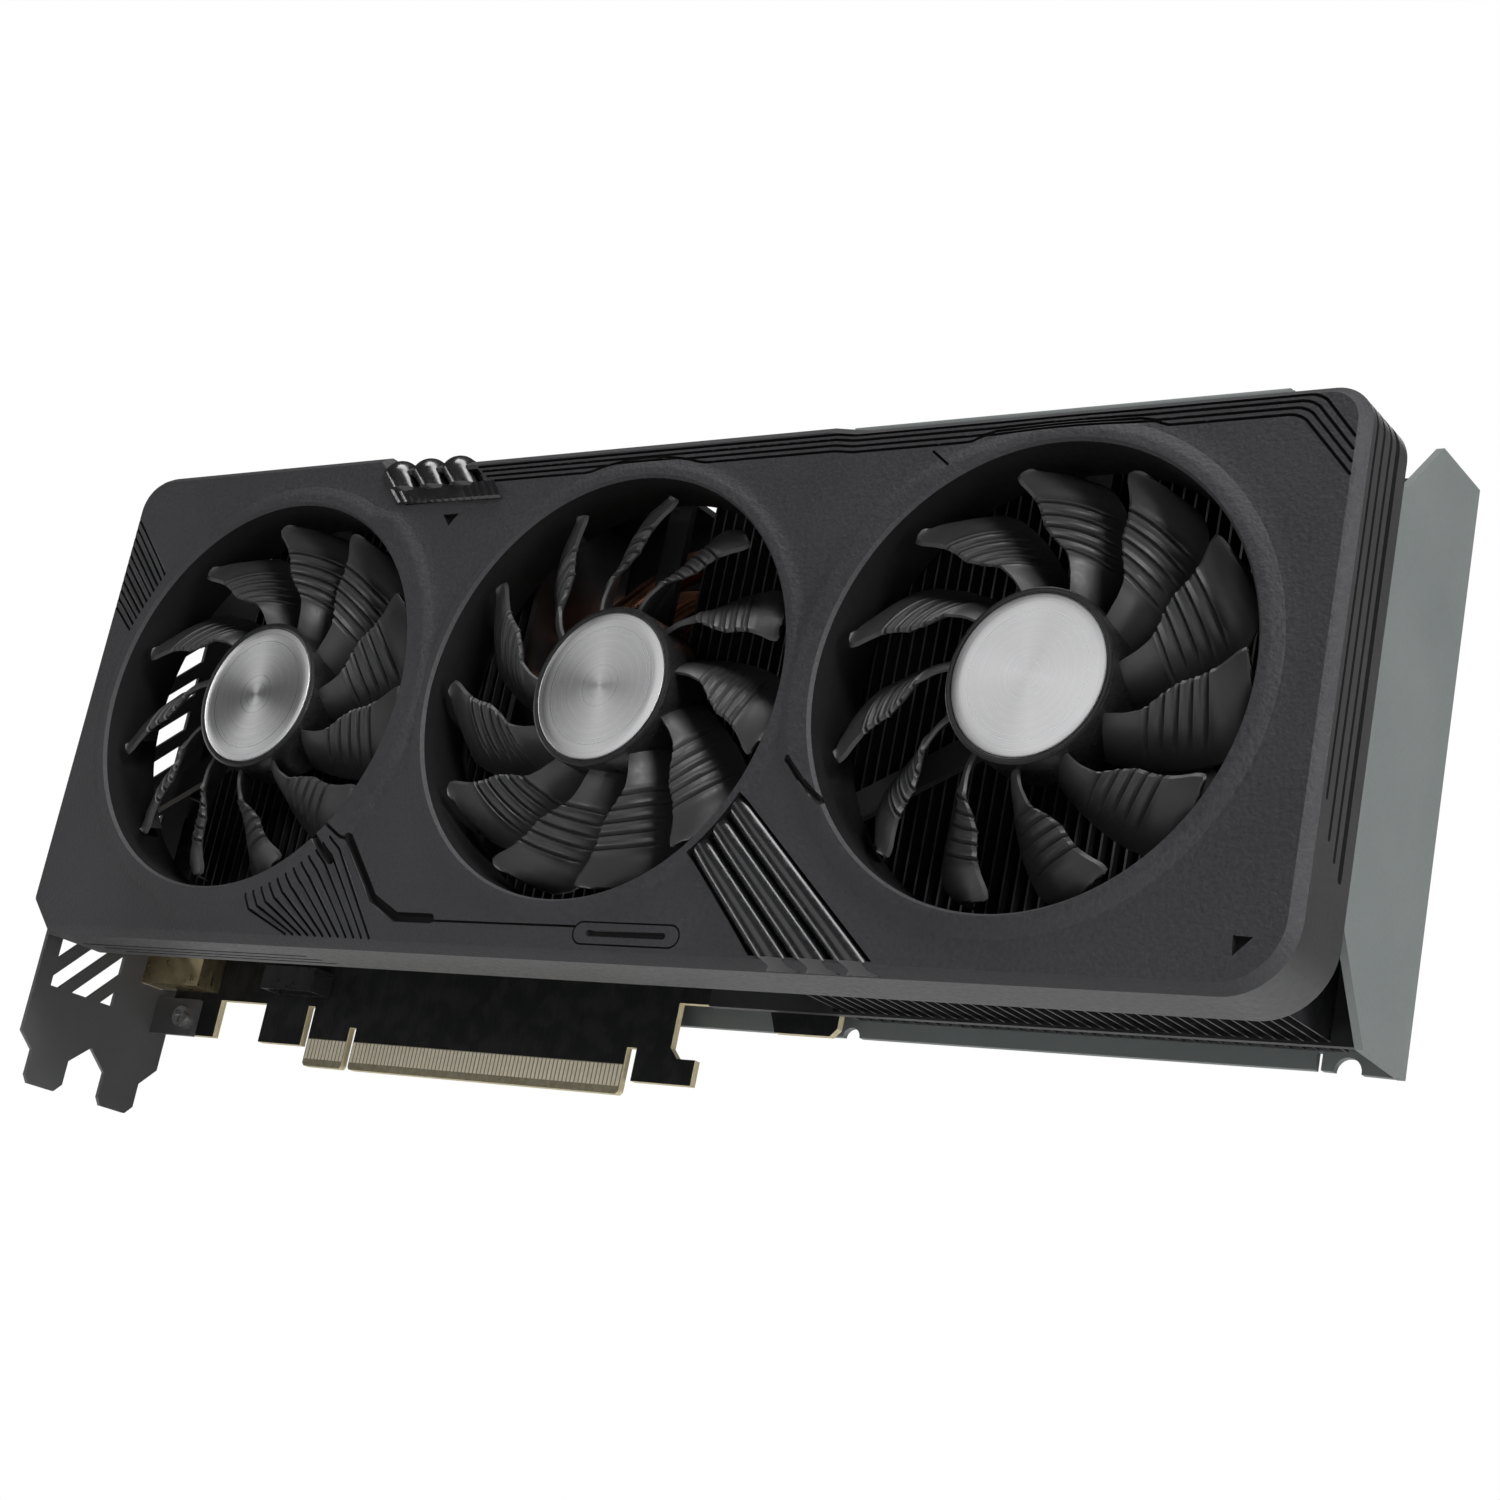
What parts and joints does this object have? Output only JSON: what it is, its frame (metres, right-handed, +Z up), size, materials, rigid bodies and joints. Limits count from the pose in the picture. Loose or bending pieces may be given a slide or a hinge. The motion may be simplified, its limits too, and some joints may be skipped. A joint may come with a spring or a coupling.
{
  "type": "graphics card",
  "caption": "Long graphics card for a computer: ribbed black shroud with round fan openings over a finned heatsink, grey folded backplate, slot bracket and edge connector.",
  "frame": {"origin": "centre of the edge connector's key notch, in the middle of the board's thickness, at the connector's lower edge", "axes": "+X along the card from the slot bracket to the far end, the fans face -Y and the backplate +Y, +Z up away from the slot"},
  "size_m": [0.2981, 0.0545, 0.1317],
  "materials": {
    "shroud_plastic": "fine sand texture, moulded",
    "trim_gloss": "polished black",
    "fan_plastic": "satin moulded",
    "cap_metal": "spun, brushed in circles",
    "motor_steel": "laminated core",
    "shaft_steel": "ground",
    "magnet": "bonded ferrite",
    "board_green": "solder mask",
    "bearing_brass": "sintered",
    "fin_aluminium": "dark nickel, thin sheet",
    "copper": "copper, drawn",
    "plate_black": "black anodised",
    "board_black": "black solder mask over glass fibre",
    "contact_gold": "gold plated",
    "package_green": "organic substrate",
    "silicon": "polished silicon",
    "chip_black": "moulded epoxy",
    "pad_grey": "soft silicone pad",
    "choke_grey": "pressed ferrite block",
    "can_aluminium": "drawn can",
    "socket_black": "moulded nylon",
    "header_black": "moulded nylon",
    "bracket_black": "satin black plating",
    "shell_black": "black nickel steel",
    "shell_gold": "plated shell",
    "screw_steel": "nickel plated",
    "screw_black": "black zinc",
    "backplate_grey": "matte grey green, anodised look",
    "spring_steel": "spring sheet"
  },
  "bodies": {
    "card": {"shroud": "shroud_plastic", "diagonal_trim": "trim_gloss", "top_trim": "trim_gloss", "fan_left_frame": "fan_plastic", "fan_left_stator": "motor_steel", "fan_left_board": "board_green", "fan_left_bearing": "bearing_brass", "fan_middle_frame": "fan_plastic", "fan_middle_stator": "motor_steel", "fan_middle_board": "board_green", "fan_middle_bearing": "bearing_brass", "fan_right_frame": "fan_plastic", "fan_right_stator": "motor_steel", "fan_right_board": "board_green", "fan_right_bearing": "bearing_brass", "fan_screws": "screw_steel", "shroud_screws": "screw_steel", "fins_left": "fin_aluminium", "fins_middle": "fin_aluminium", "fins_right": "fin_aluminium", "heat_pipes": "copper", "cold_plate": "copper", "mid_plate": "plate_black", "circuit_board": "board_black", "edge_contacts": "contact_gold", "gpu_package": "package_green", "gpu_die": "silicon", "memory_chips": "chip_black", "thermal_pads": "pad_grey", "power_stages": "chip_black", "chokes": "choke_grey", "capacitors": "can_aluminium", "power_socket": "socket_black", "fan_header": "header_black", "io_bracket": "bracket_black", "displayport_sockets": "shell_black", "hdmi_socket": "shell_gold", "bracket_screws": "screw_steel", "backplate": "backplate_grey", "board_standoffs": "bearing_brass", "backplate_screws": "screw_black", "retention_plate": "spring_steel", "retention_screws": "screw_steel"},
    "left_rotor": {"fan_left_rotor": "fan_plastic", "fan_left_magnet": "magnet", "fan_left_shaft": "shaft_steel", "fan_left_cap": "cap_metal"},
    "middle_rotor": {"fan_middle_rotor": "fan_plastic", "fan_middle_magnet": "magnet", "fan_middle_shaft": "shaft_steel", "fan_middle_cap": "cap_metal"},
    "right_rotor": {"fan_right_rotor": "fan_plastic", "fan_right_magnet": "magnet", "fan_right_shaft": "shaft_steel", "fan_right_cap": "cap_metal"}
  },
  "joints": [
    {"name": "left_fan_spin", "type": "hinge", "parent": "card", "child": "left_rotor", "pos_m": [-0.00286, -0.04, 0.0653], "axis": [0, 1, 0], "continuous": true},
    {"name": "middle_fan_spin", "type": "hinge", "parent": "card", "child": "middle_rotor", "pos_m": [0.0855, -0.04, 0.0653], "axis": [0, 1, 0], "continuous": true},
    {"name": "right_fan_spin", "type": "hinge", "parent": "card", "child": "right_rotor", "pos_m": [0.17386, -0.04, 0.0653], "axis": [0, 1, 0], "continuous": true}
  ]
}
